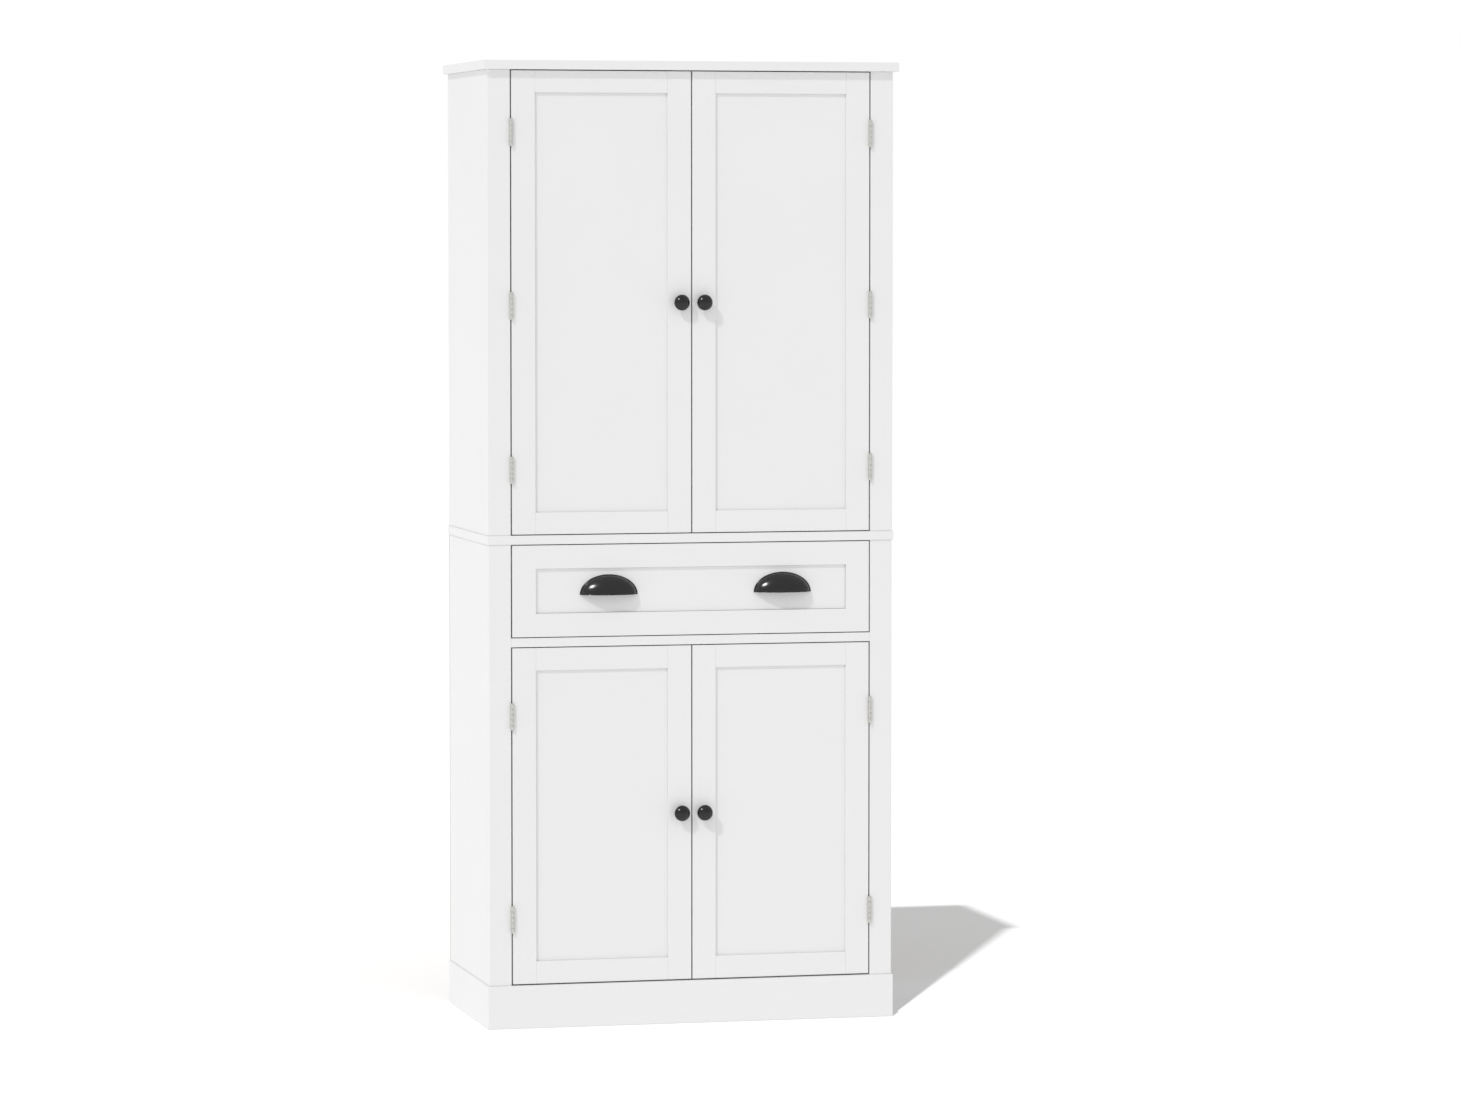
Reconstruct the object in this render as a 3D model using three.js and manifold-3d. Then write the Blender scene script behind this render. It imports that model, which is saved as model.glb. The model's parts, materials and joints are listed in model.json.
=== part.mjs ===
// Pantry cabinet: two doors over one wide drawer over two doors, on a plinth.
// Millimetres, +Z up, front towards -Y. The origin is on the floor, under the middle of the
// whole outline from the knobs' faces to the back.
import * as THREE from 'three';
import Module from 'manifold-3d';
import { mergeVertices } from 'three/addons/utils/BufferGeometryUtils.js';

// ---- driving dimensions ----------------------------------------------------------------------
const HEIGHT = 1814;
const TOP_WIDTH = 800;
const UPPER_WIDTH = 782;
const LOWER_WIDTH = 780;
const MID_WIDTH = 786;              // mid board and plinth stand proud of the body
const CARCASS_DEPTH = 395;          // from the face of the stiles and doors to the back
const TOP_OVERHANG = 12;            // top board past the face
const MID_OVERHANG = 2;             // mid board past the face
const PLINTH_OVERHANG = 3;          // plinth past the face
const PLINTH_HEIGHT = 81;

const BOARD = 17;                   // top, mid, divider and bottom boards
const SIDE_BOARD = 15;              // sides, plinth boards and shelves
const BACK_PANEL = 3;
const LOWER_OPENING = 637;          // height of the lower door opening
const DRAWER_OPENING = 175.5;       // height of the drawer opening
const OPENING_WIDTH = 695;          // between the face stiles
const FRAME_THICK = 18;             // face stiles, doors and drawer front
const REVEAL = 2.5;                 // gap beside and between the doors, and under the lower doors
const RAIL_REVEAL = 1.8;            // gap above and below the other front edges

const DOOR_STILE = 45;
const UPPER_RAIL = 41;
const LOWER_RAIL = 42.5;
const DRAWER_RAIL = 44;
const PANEL_RECESS = 4.5;           // panel face behind the frame face
const PANEL_THICK = 6;
const GROOVE_DEPTH = 8;             // how far a panel runs into its frame
const GROOVE_PLAY = 0.5;            // play of the panel in its groove, every way

const HINGE_LENGTH = 51;
const HINGE_KNUCKLES = 5;
const KNUCKLE_GAP = 0.3;
const BARREL_RADIUS = 3.3;
const BARREL_SIDES = 12;
const PIN_RADIUS = 1.4;
const PIN_PLAY = 0.35;
const LEAF_THICK = 0.9;
const LEAF_WIDTH = 16;
const AXIS_PROUD = 3.5;             // hinge axis in front of the face
const UPPER_HINGE_HEIGHTS = [1050, 1357, 1680];
const LOWER_HINGE_HEIGHTS = [206, 588];

const KNOB_PROUD = 24;
const KNOB_RADIUS = 15;
const KNOB_INSET = 20.75;           // knob centre from the door's free edge
const KNOB_SIDES = 20;

const PULL_WIDTH = 111;
const PULL_HEIGHT = 38;
const PULL_PROUD = 25;              // from the drawer panel
const PULL_WALL = 2;
const PULL_FLANGE = 2.5;
const DOME_SIDES = 32;
const DOME_STEPS = 6;
const PULL_SPACING = 336;
const PULL_SHIFT = 8.5;             // the pair sits a little right of the middle
const PULL_FOOT_Z = 814.5;          // height of the pulls' open lower edge

const SHELF_SETBACK = 30;           // shelf front edge behind the face
const SHELF_PLAY = 1;               // shelf end to side board
const UPPER_SHELF_HEIGHTS = [1211, 1499];
const LOWER_SHELF_HEIGHT = 391;

const BOX_HALF_WIDTH = 335;
const BOX_BOARD = 12;
const BOX_DEPTH = 345;
const BOX_HEIGHT = 120;
const BOX_LIFT = 16;                // drawer box above the divider board
const BOX_BOTTOM = 4;
const TRACK_WIDTH = 32;
const TRACK_HEIGHT = 12;
const TRACK_WALL = 1.5;
const SLIDE_WIDTH = 24;
const SLIDE_LIFT = 2.5;             // slide above the divider board

// ---- places that follow ----------------------------------------------------------------------
const FACE_Y = -(CARCASS_DEPTH - KNOB_PROUD) / 2;
const BACK_Y = FACE_Y + CARCASS_DEPTH;
const BOARD_BACK_Y = BACK_Y - BACK_PANEL;
const BEHIND_FRAME_Y = FACE_Y + FRAME_THICK;
const LOWER_TOP_Z = PLINTH_HEIGHT + LOWER_OPENING;
const DRAWER_FLOOR_Z = LOWER_TOP_Z + BOARD;
const MID_Z = DRAWER_FLOOR_Z + DRAWER_OPENING;
const UPPER_FLOOR_Z = MID_Z + BOARD;
const TOP_Z = HEIGHT - BOARD;
const AXIS_X = (OPENING_WIDTH - REVEAL) / 2;
const AXIS_Y = FACE_Y - AXIS_PROUD;
const PULL_BASE_Y = FACE_Y + PANEL_RECESS;

// ---- finishes --------------------------------------------------------------------------------
const finish = (color, roughness, metalness) => () =>
  new THREE.MeshStandardMaterial({ color, roughness, metalness });
const whitePaint = finish(0xf0f0ee, 0.5, 0);
const whiteFoil = finish(0xe9e8e4, 0.6, 0);
const hardboard = finish(0xa98c66, 0.8, 0);
const blackEnamel = finish(0x262626, 0.3, 0.1);
const nickel = finish(0xb4b3ae, 0.35, 1);
const zincSteel = finish(0xa9adb0, 0.4, 1);

const cabinet = new THREE.Group();

function place(group, name, geometry, material) {
  const mesh = new THREE.Mesh(geometry, material());
  mesh.name = name;
  group.add(mesh);
  return mesh;
}

// ---- solids ----------------------------------------------------------------------------------
const wasm = await Module();
wasm.setup();

function toSolid(geometry) {
  const bare = geometry.clone();
  bare.deleteAttribute('normal');
  bare.deleteAttribute('uv');
  const welded = mergeVertices(bare);
  return new wasm.Manifold(new wasm.Mesh({
    numProp: 3,
    vertProperties: new Float32Array(welded.attributes.position.array),
    triVerts: new Uint32Array(welded.index.array),
  }));
}

function toGeometry(solid) {
  const mesh = solid.getMesh();
  const geometry = new THREE.BufferGeometry();
  geometry.setAttribute('position', new THREE.BufferAttribute(mesh.vertProperties, 3));
  geometry.setIndex(new THREE.BufferAttribute(mesh.triVerts, 1));
  return geometry;
}

// A box between two corners, given as [low, high] along each axis.
function block([x0, x1], [y0, y1], [z0, z1]) {
  const geometry = new THREE.BoxGeometry(x1 - x0, y1 - y0, z1 - z0);
  geometry.translate((x0 + x1) / 2, (y0 + y1) / 2, (z0 + z1) / 2);
  return geometry;
}

// An outline of [across, deep] points seen from above, raised from one height to another.
function raised(points, z0, z1) {
  const shape = new THREE.Shape(points.map(([x, y]) => new THREE.Vector2(x, y)));
  const geometry = new THREE.ExtrudeGeometry(shape, { depth: z1 - z0, bevelEnabled: false });
  geometry.translate(0, 0, z0);
  return geometry;
}

// ---- carcass ---------------------------------------------------------------------------------
// A pair of equal boards, one on each side, between two distances from the middle.
function boardPair(name, [inner, outer], ySpan, zSpan) {
  place(cabinet, `${name}_left`, block([-outer, -inner], ySpan, zSpan), whitePaint);
  place(cabinet, `${name}_right`, block([inner, outer], ySpan, zSpan), whitePaint);
}

// The sides and face stiles of one section.
function section(name, width, zSpan) {
  const outer = width / 2;
  boardPair(`${name}_side`, [outer - SIDE_BOARD, outer], [BEHIND_FRAME_Y, BOARD_BACK_Y], zSpan);
  boardPair(`${name}_stile`, [OPENING_WIDTH / 2, outer], [FACE_Y, BEHIND_FRAME_Y], zSpan);
}

function carcass() {
  const across = (width) => [-width / 2, width / 2];
  place(cabinet, 'top_board',
    block(across(TOP_WIDTH), [FACE_Y - TOP_OVERHANG, BACK_Y], [TOP_Z, HEIGHT]), whitePaint);
  place(cabinet, 'mid_board',
    block(across(MID_WIDTH), [FACE_Y - MID_OVERHANG, BOARD_BACK_Y], [MID_Z, UPPER_FLOOR_Z]),
    whitePaint);
  section('upper', UPPER_WIDTH, [UPPER_FLOOR_Z, TOP_Z]);
  section('lower', LOWER_WIDTH, [PLINTH_HEIGHT, MID_Z]);

  // The divider's front edge shows between the stiles, and behind them it widens to the sides.
  const tongue = OPENING_WIDTH / 2;
  const wide = LOWER_WIDTH / 2 - SIDE_BOARD;
  const divider = [
    [-tongue, FACE_Y], [tongue, FACE_Y], [tongue, BEHIND_FRAME_Y], [wide, BEHIND_FRAME_Y],
    [wide, BOARD_BACK_Y], [-wide, BOARD_BACK_Y], [-wide, BEHIND_FRAME_Y], [-tongue, BEHIND_FRAME_Y],
  ];
  place(cabinet, 'drawer_divider', raised(divider, LOWER_TOP_Z, DRAWER_FLOOR_Z), whitePaint);

  const plinthFrontY = FACE_Y - PLINTH_OVERHANG;
  const plinthBehindY = plinthFrontY + SIDE_BOARD;
  const plinthInner = MID_WIDTH / 2 - SIDE_BOARD;
  place(cabinet, 'plinth_front',
    block(across(MID_WIDTH), [plinthFrontY, plinthBehindY], [0, PLINTH_HEIGHT]), whitePaint);
  boardPair('plinth_side', [plinthInner, MID_WIDTH / 2], [plinthBehindY, BOARD_BACK_Y],
    [0, PLINTH_HEIGHT]);
  place(cabinet, 'bottom_board',
    block([-plinthInner, plinthInner], [plinthBehindY, BOARD_BACK_Y],
      [PLINTH_HEIGHT - BOARD, PLINTH_HEIGHT]), whiteFoil);
  place(cabinet, 'back_panel',
    block(across(LOWER_WIDTH), [BOARD_BACK_Y, BACK_Y], [PLINTH_HEIGHT - BOARD, TOP_Z]), hardboard);
}

function shelf(name, width, z) {
  const end = width / 2 - SIDE_BOARD - SHELF_PLAY;
  place(cabinet, name,
    block([-end, end], [FACE_Y + SHELF_SETBACK, BOARD_BACK_Y - SHELF_PLAY], [z, z + SIDE_BOARD]),
    whiteFoil);
}

// ---- framed fronts ---------------------------------------------------------------------------
// The ring of stiles and rails round an opening, with the panel's groove cut inside it.
function frontFrame(xSpan, zSpan, rail, panel) {
  const whole = toSolid(block(xSpan, [FACE_Y, BEHIND_FRAME_Y], zSpan));
  const opening = toSolid(block(
    [xSpan[0] + DOOR_STILE, xSpan[1] - DOOR_STILE],
    [FACE_Y - 1, BEHIND_FRAME_Y + 1],
    [zSpan[0] + rail, zSpan[1] - rail],
  ));
  const groove = toSolid(block(
    [panel.x[0] - GROOVE_PLAY, panel.x[1] + GROOVE_PLAY],
    [panel.y[0] - GROOVE_PLAY, panel.y[1] + GROOVE_PLAY],
    [panel.z[0] - GROOVE_PLAY, panel.z[1] + GROOVE_PLAY],
  ));
  return toGeometry(whole.subtract(opening).subtract(groove));
}

function panelSpans(xSpan, zSpan, rail) {
  const shrink = ([low, high], margin) => [low + margin, high - margin];
  return {
    x: shrink(xSpan, DOOR_STILE - GROOVE_DEPTH),
    y: [FACE_Y + PANEL_RECESS, FACE_Y + PANEL_RECESS + PANEL_THICK],
    z: shrink(zSpan, rail - GROOVE_DEPTH),
  };
}

// ---- hinges ----------------------------------------------------------------------------------
const KNUCKLE_PITCH = (HINGE_LENGTH + KNUCKLE_GAP) / HINGE_KNUCKLES;
const KNUCKLE_LENGTH = KNUCKLE_PITCH - KNUCKLE_GAP;
const LEAF_CLEAR = 0.6;             // plate front edge to the other leaf's knuckles

function upright(radius, z0, z1) {
  const geometry = new THREE.CylinderGeometry(radius, radius, z1 - z0, BARREL_SIDES);
  geometry.rotateX(Math.PI / 2);
  geometry.translate(0, 0, (z0 + z1) / 2);
  return toSolid(geometry);
}

// One leaf about its own axis, starting at height 0: a plate behind the barrel, and its knuckles,
// each with a tab to the plate. The plate lies on the +X side of the axis.
function hingeLeaf(knuckles, withPin) {
  const outerX = REVEAL / 2;
  const innerX = outerX - LEAF_THICK;
  const plateY = BARREL_RADIUS + LEAF_CLEAR;
  let leaf = toSolid(block([innerX, outerX], [plateY, plateY + LEAF_WIDTH], [0, HINGE_LENGTH]));
  for (const index of knuckles) {
    const z0 = index * KNUCKLE_PITCH;
    const z1 = z0 + KNUCKLE_LENGTH;
    leaf = leaf.add(upright(BARREL_RADIUS, z0, z1));
    leaf = leaf.add(toSolid(block([innerX, outerX], [BARREL_RADIUS / 2, plateY + 1], [z0, z1])));
  }
  const core = withPin ? PIN_RADIUS : PIN_RADIUS + PIN_PLAY;
  const shaft = upright(core, withPin ? 0 : -1, withPin ? HINGE_LENGTH : HINGE_LENGTH + 1);
  return withPin ? leaf.add(shaft) : leaf.subtract(shaft);
}

const frameLeaf = hingeLeaf([0, 2, 4], true);
const doorLeaf = hingeLeaf([1, 3], false).mirror([1, 0, 0]);

// side is -1 for hinges on the left of the cabinet and +1 on the right.
function hinge(name, side, height, door) {
  const turnedOver = side < 0;
  for (const [kind, leaf, group] of [['frame', frameLeaf, cabinet], ['door', doorLeaf, door]]) {
    const solid = turnedOver ? leaf.mirror([1, 0, 0]) : leaf;
    const mesh = place(group, `${name}_${kind}_leaf`, toGeometry(solid), nickel);
    mesh.position.set(side * AXIS_X, AXIS_Y, height - HINGE_LENGTH / 2);
  }
}

// ---- knob and cup pull -----------------------------------------------------------------------
// A mushroom knob turned about its screw: foot, waist, then a cap with a round rim and low crown.
function knobGeometry() {
  const outline = new THREE.Path();
  outline.moveTo(0, 0);
  outline.lineTo(8, 0);
  outline.lineTo(7.5, 2);
  outline.quadraticCurveTo(5, 5, 6.5, 9);
  outline.quadraticCurveTo(9, 11, KNOB_RADIUS - 1, 12);
  outline.quadraticCurveTo(KNOB_RADIUS + 1.5, 14.5, KNOB_RADIUS - 1.5, 17.5);
  outline.quadraticCurveTo(9, KNOB_PROUD - 0.6, 0, KNOB_PROUD);
  const profile = outline.getPoints(3).map((point) => new THREE.Vector2(Math.max(point.x, 0), point.y));
  const geometry = new THREE.LatheGeometry(profile, KNOB_SIDES);
  geometry.rotateX(Math.PI);
  return toGeometry(toSolid(geometry));
}

function knob(name, x, z, door) {
  const mesh = place(door, name, knobGeometry(), blackEnamel);
  mesh.position.set(x, FACE_Y, z);
}

// Points of a quarter ellipse from its end on the base line up to the axis.
function quarterEllipse(radius, height) {
  return Array.from({ length: DOME_STEPS + 1 }, (_, index) => {
    const angle = (index / DOME_STEPS) * (Math.PI / 2);
    const across = index < DOME_STEPS ? radius * Math.cos(angle) : 0;
    return new THREE.Vector2(across, height * Math.sin(angle));
  });
}

// A hollow dome on a thin flange, flattened to an ellipse and cut in half: the cut faces down and
// leaves the cup open for the fingers.
function cupPullGeometry() {
  const half = PULL_WIDTH / 2;
  const domeRadius = half - PULL_FLANGE;
  const inside = quarterEllipse(domeRadius - PULL_WALL, PULL_PROUD - PULL_WALL);
  const outside = quarterEllipse(domeRadius, PULL_PROUD);
  const profile = [
    ...inside.reverse(),
    new THREE.Vector2(half, 0),
    new THREE.Vector2(half, PULL_WALL),
    new THREE.Vector2(domeRadius, PULL_WALL),
    ...outside.filter((point) => point.y > PULL_WALL),
  ];
  const halfStep = Math.PI / DOME_SIDES;
  const fill = 1 / Math.cos(halfStep);
  const dome = new THREE.LatheGeometry(profile, DOME_SIDES, halfStep);
  dome.rotateX(Math.PI);
  dome.scale(fill, 1, (fill * PULL_HEIGHT) / half);
  const upperHalf = block([-half - 1, half + 1], [-PULL_PROUD - 1, 1], [0, PULL_HEIGHT + 1]);
  return toGeometry(toSolid(dome).intersect(toSolid(upperHalf)));
}

function cupPull(name, x, drawer) {
  const mesh = place(drawer, name, cupPullGeometry(), blackEnamel);
  mesh.position.set(x, PULL_BASE_Y, PULL_FOOT_Z);
}

// ---- doors -----------------------------------------------------------------------------------
function door(name, side, zSpan, rail, hingeHeights) {
  const group = new THREE.Group();
  const outerEdge = OPENING_WIDTH / 2 - REVEAL;
  const innerEdge = REVEAL / 2;
  const xSpan = side < 0 ? [-outerEdge, -innerEdge] : [innerEdge, outerEdge];
  const panel = panelSpans(xSpan, zSpan, rail);
  place(group, `${name}_frame`, frontFrame(xSpan, zSpan, rail, panel), whitePaint);
  place(group, `${name}_panel`, block(panel.x, panel.y, panel.z), whitePaint);
  knob(`${name}_knob`, side * (innerEdge + KNOB_INSET), (zSpan[0] + zSpan[1]) / 2, group);
  hingeHeights.forEach((height, index) => hinge(`${name}_hinge${index + 1}`, side, height, group));
  cabinet.add(group);
}

// ---- drawer ----------------------------------------------------------------------------------
function drawer() {
  const group = new THREE.Group();
  const outerEdge = OPENING_WIDTH / 2 - REVEAL;
  const xSpan = [-outerEdge, outerEdge];
  const zSpan = [DRAWER_FLOOR_Z + RAIL_REVEAL, MID_Z - RAIL_REVEAL];
  const whole = toSolid(block(xSpan, [FACE_Y, BEHIND_FRAME_Y], zSpan));
  const recess = toSolid(block(
    [xSpan[0] + DOOR_STILE, xSpan[1] - DOOR_STILE],
    [FACE_Y - 1, FACE_Y + PANEL_RECESS],
    [zSpan[0] + DRAWER_RAIL, zSpan[1] - DRAWER_RAIL],
  ));
  place(group, 'drawer_front', toGeometry(whole.subtract(recess)), whitePaint);
  for (const side of [-1, 1]) {
    cupPull(`cup_pull_${side < 0 ? 'left' : 'right'}`, side * PULL_SPACING / 2 + PULL_SHIFT, group);
  }

  const boxZ = DRAWER_FLOOR_Z + BOX_LIFT;
  const boxBackY = BEHIND_FRAME_Y + BOX_DEPTH;
  const inner = BOX_HALF_WIDTH - BOX_BOARD;
  const sideHeight = [boxZ, boxZ + BOX_HEIGHT];
  const bottomZ = boxZ + 2;
  place(group, 'drawer_side_left',
    block([-BOX_HALF_WIDTH, -inner], [BEHIND_FRAME_Y, boxBackY], sideHeight), whiteFoil);
  place(group, 'drawer_side_right',
    block([inner, BOX_HALF_WIDTH], [BEHIND_FRAME_Y, boxBackY], sideHeight), whiteFoil);
  place(group, 'drawer_bottom',
    block([-inner, inner], [BEHIND_FRAME_Y, boxBackY], [bottomZ, bottomZ + BOX_BOTTOM]), whiteFoil);
  place(group, 'drawer_back',
    block([-inner, inner], [boxBackY - BOX_BOARD, boxBackY],
      [bottomZ + BOX_BOTTOM, boxZ + BOX_HEIGHT]), whiteFoil);
  place(group, 'runner_slide',
    block([-SLIDE_WIDTH / 2, SLIDE_WIDTH / 2], [BEHIND_FRAME_Y, boxBackY],
      [DRAWER_FLOOR_Z + SLIDE_LIFT, bottomZ]), zincSteel);
  cabinet.add(group);
}

// The fixed track of the centre runner: an upward channel on the divider board.
function runnerTrack() {
  const half = TRACK_WIDTH / 2;
  const inner = half - TRACK_WALL;
  const shape = new THREE.Shape([
    [-half, 0], [half, 0], [half, TRACK_HEIGHT], [inner, TRACK_HEIGHT], [inner, TRACK_WALL],
    [-inner, TRACK_WALL], [-inner, TRACK_HEIGHT], [-half, TRACK_HEIGHT],
  ].map(([x, y]) => new THREE.Vector2(x, y)));
  const length = BOARD_BACK_Y - BEHIND_FRAME_Y;
  const geometry = new THREE.ExtrudeGeometry(shape, { depth: length, bevelEnabled: false });
  geometry.rotateX(Math.PI / 2);
  const mesh = place(cabinet, 'runner_track', geometry, zincSteel);
  mesh.position.set(0, BOARD_BACK_Y, DRAWER_FLOOR_Z);
}

// ---- assembly --------------------------------------------------------------------------------
carcass();
shelf('upper_shelf_low', UPPER_WIDTH, UPPER_SHELF_HEIGHTS[0]);
shelf('upper_shelf_high', UPPER_WIDTH, UPPER_SHELF_HEIGHTS[1]);
shelf('lower_shelf', LOWER_WIDTH, LOWER_SHELF_HEIGHT);
for (const side of [-1, 1]) {
  const hand = side < 0 ? 'left' : 'right';
  door(`upper_door_${hand}`, side, [UPPER_FLOOR_Z + RAIL_REVEAL, TOP_Z - RAIL_REVEAL],
    UPPER_RAIL, UPPER_HINGE_HEIGHTS);
  door(`lower_door_${hand}`, side, [PLINTH_HEIGHT + REVEAL, LOWER_TOP_Z - RAIL_REVEAL],
    LOWER_RAIL, LOWER_HINGE_HEIGHTS);
}
runnerTrack();
drawer();

export default cabinet;
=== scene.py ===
import json
import math

import bmesh
import bpy
from bpy.props import FloatProperty, FloatVectorProperty, IntProperty, PointerProperty
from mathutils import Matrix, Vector


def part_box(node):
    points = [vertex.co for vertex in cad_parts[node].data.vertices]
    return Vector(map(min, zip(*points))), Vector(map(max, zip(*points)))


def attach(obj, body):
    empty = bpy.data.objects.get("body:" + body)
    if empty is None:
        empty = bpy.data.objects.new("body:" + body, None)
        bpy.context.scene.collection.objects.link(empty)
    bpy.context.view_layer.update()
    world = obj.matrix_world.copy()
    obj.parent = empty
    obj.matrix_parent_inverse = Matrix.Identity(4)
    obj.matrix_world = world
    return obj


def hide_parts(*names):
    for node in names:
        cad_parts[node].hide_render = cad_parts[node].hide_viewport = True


bl_info = {
    "name": "Pantry Cabinet",
    "version": (1, 0, 0),
    "blender": (4, 5, 0),
    "location": "View3D > Sidebar > Cabinet",
    "description": "Builds a painted pantry cabinet round its packed frame",
    "category": "Object",
}

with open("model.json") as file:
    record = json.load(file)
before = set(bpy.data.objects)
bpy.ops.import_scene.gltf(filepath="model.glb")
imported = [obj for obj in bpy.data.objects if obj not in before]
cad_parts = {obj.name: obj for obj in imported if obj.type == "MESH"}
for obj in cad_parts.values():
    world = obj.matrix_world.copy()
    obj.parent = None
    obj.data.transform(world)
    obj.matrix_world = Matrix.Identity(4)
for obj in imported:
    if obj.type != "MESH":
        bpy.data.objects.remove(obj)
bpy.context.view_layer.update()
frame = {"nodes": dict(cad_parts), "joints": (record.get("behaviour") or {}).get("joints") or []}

MM = 0.001
HANDS = ("left", "right")
DOORS = ("upper_door_left", "upper_door_right", "lower_door_left", "lower_door_right")
HINGE_COUNT = {"upper": 3, "lower": 2}
KNUCKLES = {"frame": (0, 2, 4), "door": (1, 3)}
# Each screw of a hinge plate: its height as a share of the plate's, and its step out of line.
HINGE_SCREWS = ((0.16, 2 * MM), (0.5, -2 * MM), (0.84, 2 * MM))
# Radius, crown, depth in the material and straight side of each screw head.
SCREW_HEADS = {
    "hinge": (3.0 * MM, 0.1 * MM, 0.5 * MM, 0),
    "joint": (3.6 * MM, 0.3 * MM, 1.5 * MM, 0),
    "handle": (4.0 * MM, 1.0 * MM, 0.6 * MM, 1.2 * MM),
    "track": (3.2 * MM, 0.2 * MM, 0.8 * MM, 0),
    "catch": (2.8 * MM, 0.6 * MM, 0.5 * MM, 0.4 * MM),
    "strike": (2.4 * MM, 0.15 * MM, 0.5 * MM, 0),
}


# ---- settings --------------------------------------------------------------------------------
def linear(colour):
    """The linear red, green and blue of an sRGB hex value."""
    parts = [(colour >> shift & 255) / 255 for shift in (16, 8, 0)]
    return tuple(c / 12.92 if c <= 0.04045 else ((c + 0.055) / 1.055) ** 2.4 for c in parts)


def length(name, description, default):
    return FloatProperty(
        name=name, description=description, default=default, min=0, subtype="DISTANCE", unit="LENGTH"
    )


def tint(name, description, colour):
    return FloatVectorProperty(
        name=name, description=description, default=linear(colour), min=0, max=1, subtype="COLOR"
    )


class JoinerySizes(bpy.types.PropertyGroup):
    board_arris: length("Board Arris", "Rounding of the painted boards' edges", 1.0 * MM)
    front_arris: length("Front Arris", "Rounding of door and drawer members", 0.6 * MM)
    foil_arris: length("Foil Arris", "Rounding of the foil-faced boards' edges", 0.4 * MM)
    groove_depth: length("Groove Depth", "How far a panel runs into its frame", 8 * MM)
    groove_play: length("Groove Play", "Play of a panel in its groove", 0.5 * MM)
    drawer_stile: length("Drawer Stile", "Width of the drawer front's stiles", 45 * MM)
    drawer_rail: length("Drawer Rail", "Height of the drawer front's rails", 44 * MM)
    drawer_recess: length("Drawer Recess", "Drawer panel behind its frame's face", 4.5 * MM)
    pin_pitch: length("Pin Pitch", "Distance between shelf-pin holes", 32 * MM)
    pin_radius: length("Pin Radius", "Radius of a shelf pin", 2.5 * MM)
    pin_depth: length("Pin Depth", "Depth of a shelf-pin hole", 9 * MM)
    pin_inset: length("Pin Inset", "Pin rows from a shelf's front and back edges", 40 * MM)
    spare_holes: IntProperty(
        name="Spare Holes", description="Holes above and below the shelves in use", default=4, min=0
    )
    nail_pitch: length("Nail Pitch", "Distance between nails in the back panel", 95 * MM)


class HardwareSizes(bpy.types.PropertyGroup):
    barrel_radius: length("Barrel Radius", "Radius of the hinge knuckles", 3.3 * MM)
    knuckle_gap: length("Knuckle Gap", "Gap between two hinge knuckles", 0.3 * MM)
    leaf_thickness: length("Leaf Thickness", "Thickness of a hinge plate", 0.9 * MM)
    leaf_clearance: length("Leaf Clearance", "Barrel to hinge plate", 0.6 * MM)
    leaf_corner: length("Leaf Corner", "Rounding of a hinge plate's corners", 3 * MM)
    screw_inset: length("Screw Inset", "Hinge screws from the plate's inner edge", 6.5 * MM)
    pull_flange: length("Pull Flange", "Width of the flat edge round a cup pull", 2.5 * MM)
    pull_wall: length("Pull Wall", "Wall thickness of a cup pull", 2.0 * MM)
    post_spacing: length("Post Spacing", "Distance between a cup pull's two screws", 76 * MM)
    post_height: length("Post Height", "Screws above a cup pull's lower edge", 11 * MM)
    post_reach: length("Post Reach", "Length of a cup pull's posts", 9 * MM)
    catch_width: length("Catch Width", "Width of a magnetic catch", 48 * MM)
    catch_depth: length("Catch Depth", "Depth of a magnetic catch", 16 * MM)
    catch_height: length("Catch Height", "Height of a magnetic catch", 14 * MM)
    catch_ear: length("Catch Ear", "Length of a magnetic catch's screw ears", 9 * MM)
    pole_offset: length("Pole Offset", "A catch's poles from the middle of the cabinet", 13 * MM)


class FinishColours(bpy.types.PropertyGroup):
    paint: tint("Paint", "Satin paint outside", 0xE7E7E7)
    foil: tint("Foil", "Melamine face inside", 0xE9E8E5)
    hardboard: tint("Hardboard", "Bare hardboard behind", 0xA27F58)
    enamel: tint("Enamel", "Knobs and cup pulls", 0x0C0C0D)
    nickel: tint("Nickel", "Hinges", 0xD2D1CC)
    zinc: tint("Zinc", "Runner and screws", 0xB4B8BC)
    straw: tint("Straw", "Thick passivation on the zinc", 0xC2BDA6)
    plastic: tint("Plastic", "Catches, pins and rollers", 0xEEEEEA)
    floor: tint("Floor", "Studio floor", 0xDEDEDE)


class StudioSettings(bpy.types.PropertyGroup):
    camera_place: FloatVectorProperty(
        name="Camera Place",
        description="Where the camera stands",
        default=(-2.4132, -10.5092, 1.5057),
        subtype="TRANSLATION",
        unit="LENGTH",
    )
    camera_turn: FloatProperty(
        name="Camera Turn",
        description="How far the camera looks to the right of straight ahead",
        default=math.radians(13.545),
        subtype="ANGLE",
    )
    camera_drop: FloatProperty(
        name="Camera Drop",
        description="How far the camera looks below the horizon",
        default=math.radians(3.27),
        subtype="ANGLE",
    )
    lens: FloatProperty(name="Lens", description="Focal length in millimetres", default=138.97)
    room_light: FloatProperty(
        name="Room Light", description="Strength of the even white light", default=0.75
    )
    key_light: FloatProperty(
        name="Key Light", description="Strength of the light from the upper left", default=0.98
    )
    floor_light: FloatProperty(
        name="Floor Light", description="Strength of the light that falls on the floor", default=2.75
    )
    side_light: FloatProperty(
        name="Side Light", description="Strength of the broad light on the left", default=8.0
    )
    glint_light: FloatProperty(
        name="Glint Light", description="Strength of the box seen only in glossy parts", default=60.0
    )


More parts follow.
